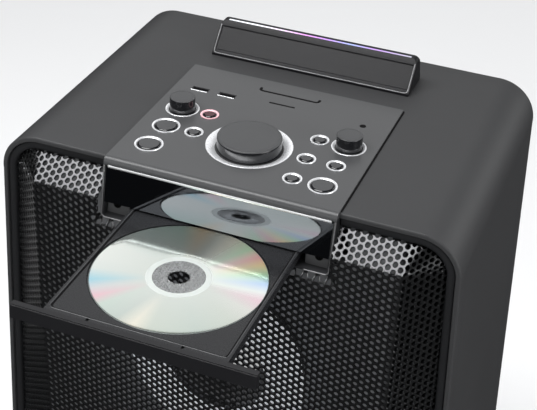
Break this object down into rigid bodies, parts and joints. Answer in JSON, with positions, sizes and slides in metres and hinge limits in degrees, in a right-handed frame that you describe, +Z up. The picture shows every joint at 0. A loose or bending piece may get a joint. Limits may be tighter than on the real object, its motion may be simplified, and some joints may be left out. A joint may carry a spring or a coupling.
{
  "type": "karaoke machine with disc tray",
  "caption": "Floor-standing karaoke speaker tower, slightly flared, with a perforated front, a control panel with a sliding disc tray on top and a rest for a tablet.",
  "frame": {"origin": "on the floor, under the middle of the whole outline with the disc tray open", "axes": "+Z up, -Y towards the front, where the disc tray opens, +X to the right as seen from the front"},
  "size_m": [0.399, 0.3876, 0.584],
  "materials": {
    "wrap": "fine matte texture, charcoal",
    "rear": "matte, black",
    "screw": "black oxide",
    "dark_trim": "satin, near black",
    "board": "circuit board with its parts",
    "foot": "matte, black",
    "board_wood": "board stained black",
    "grille": "satin black powder coat",
    "basket": "black paint",
    "cone": "light grey cone",
    "light": "milky diffuser",
    "panel": "satin grey",
    "chrome": "polished",
    "window": "gloss black",
    "knob": "satin black",
    "steel": "plated",
    "tray": "satin, dark grey",
    "disc": "mirrored, rainbow sheen",
    "gear": "natural acetal",
    "button": "satin, dark grey",
    "red_button": "satin, dark red"
  },
  "bodies": {
    "cabinet": {"cabinet_wrap": "wrap", "rear_panel": "rear", "rear_screws": "screw", "bass_port": "rear", "mains_inlet": "dark_trim", "power_supply": "board", "amplifier_board": "board", "feet": "foot", "foot_screws": "screw", "baffle": "board_wood", "front_bezel": "dark_trim", "grille": "grille", "upper_woofer_basket": "basket", "upper_woofer_cone": "cone", "upper_light_ring": "light", "lower_woofer_basket": "basket", "lower_woofer_cone": "cone", "lower_light_ring": "light", "tablet_rest": "dark_trim", "rest_light": "light", "control_panel": "panel", "chrome_strip": "chrome", "module_frame": "dark_trim", "window": "window", "frame_screws": "screw", "control_rings": "chrome", "potentiometers": "steel", "switch_board": "board", "media_sockets": "steel", "status_lens": "window", "loader_chassis": "dark_trim", "loader_motor": "steel", "clamp_bridge": "steel", "clamp_puck": "knob"},
    "tray": {"tray": "tray", "tray_door": "dark_trim", "disc": "disc"},
    "volume_knob": {"volume_knob": "knob"},
    "left_knob": {"left_knob": "knob"},
    "right_knob": {"right_knob": "knob"},
    "drive_gear": {"drive_gear": "gear"},
    "motor_pinion": {"motor_pinion": "gear"},
    "pickup_deck": {"pickup_deck": "tray", "sled_rails": "steel"},
    "turntable": {"turntable": "knob"},
    "pickup_sled": {"pickup_sled": "knob"},
    "button_1": {"button_1": "button"},
    "button_2": {"button_2": "button"},
    "button_3": {"button_3": "button"},
    "button_4": {"button_4": "red_button"},
    "button_5": {"button_5": "button"},
    "button_6": {"button_6": "button"},
    "button_7": {"button_7": "button"},
    "button_8": {"button_8": "button"},
    "button_9": {"button_9": "button"}
  },
  "joints": [
    {"name": "tray_slide", "type": "slide", "parent": "cabinet", "child": "tray", "axis": [0, 1, 0], "range_m": [0, 0.13]},
    {"name": "volume_knob_turn", "type": "hinge", "parent": "cabinet", "child": "volume_knob", "pos_m": [0, 0.00261, 0.562], "axis": [0, 0, 1], "continuous": true},
    {"name": "left_knob_turn", "type": "hinge", "parent": "cabinet", "child": "left_knob", "pos_m": [-0.0665, 0.03181, 0.562], "axis": [0, 0, 1], "range_deg": [-150, 150]},
    {"name": "right_knob_turn", "type": "hinge", "parent": "cabinet", "child": "right_knob", "pos_m": [0.0665, 0.03181, 0.562], "axis": [0, 0, 1], "range_deg": [-150, 150]},
    {"name": "button_1_press", "type": "slide", "parent": "cabinet", "child": "button_1", "axis": [0, 0, -1], "range_m": [0, 0.001], "stiffness_N_per_m": 400},
    {"name": "button_2_press", "type": "slide", "parent": "cabinet", "child": "button_2", "axis": [0, 0, -1], "range_m": [0, 0.001], "stiffness_N_per_m": 400},
    {"name": "button_3_press", "type": "slide", "parent": "cabinet", "child": "button_3", "axis": [0, 0, -1], "range_m": [0, 0.001], "stiffness_N_per_m": 400},
    {"name": "button_4_press", "type": "slide", "parent": "cabinet", "child": "button_4", "axis": [0, 0, -1], "range_m": [0, 0.001], "stiffness_N_per_m": 400},
    {"name": "button_5_press", "type": "slide", "parent": "cabinet", "child": "button_5", "axis": [0, 0, -1], "range_m": [0, 0.001], "stiffness_N_per_m": 400},
    {"name": "button_6_press", "type": "slide", "parent": "cabinet", "child": "button_6", "axis": [0, 0, -1], "range_m": [0, 0.001], "stiffness_N_per_m": 400},
    {"name": "button_7_press", "type": "slide", "parent": "cabinet", "child": "button_7", "axis": [0, 0, -1], "range_m": [0, 0.001], "stiffness_N_per_m": 400},
    {"name": "button_8_press", "type": "slide", "parent": "cabinet", "child": "button_8", "axis": [0, 0, -1], "range_m": [0, 0.001], "stiffness_N_per_m": 400},
    {"name": "button_9_press", "type": "slide", "parent": "cabinet", "child": "button_9", "axis": [0, 0, -1], "range_m": [0, 0.001], "stiffness_N_per_m": 400},
    {"name": "drive_gear_spin", "type": "hinge", "parent": "cabinet", "child": "drive_gear", "pos_m": [-0.03925, -0.01609, 0.517], "axis": [0, 0, 1], "range_deg": [-862, 862]},
    {"name": "motor_pinion_spin", "type": "hinge", "parent": "cabinet", "child": "motor_pinion", "pos_m": [-0.04337, 0.0073, 0.517], "axis": [0, 0, 1], "range_deg": [-1855, 1855]},
    {"name": "deck_hinge", "type": "hinge", "parent": "cabinet", "child": "pickup_deck", "pos_m": [0, 0.08682, 0.5145], "axis": [-1, 0, 0], "range_deg": [0, 2.6]},
    {"name": "turntable_spin", "type": "hinge", "parent": "pickup_deck", "child": "turntable", "pos_m": [0, 0.01092, 0.51055], "axis": [0, -0.0454, 0.999], "continuous": true},
    {"name": "sled_slide", "type": "slide", "parent": "pickup_deck", "child": "pickup_sled", "axis": [0, 0.999, 0.0454], "range_m": [0, 0.024]}
  ],
  "couplings": [
    {"joint": "drive_gear_spin", "follows": "tray_slide", "rad_per_m": -114.29},
    {"joint": "motor_pinion_spin", "follows": "tray_slide", "rad_per_m": 247.62}
  ]
}
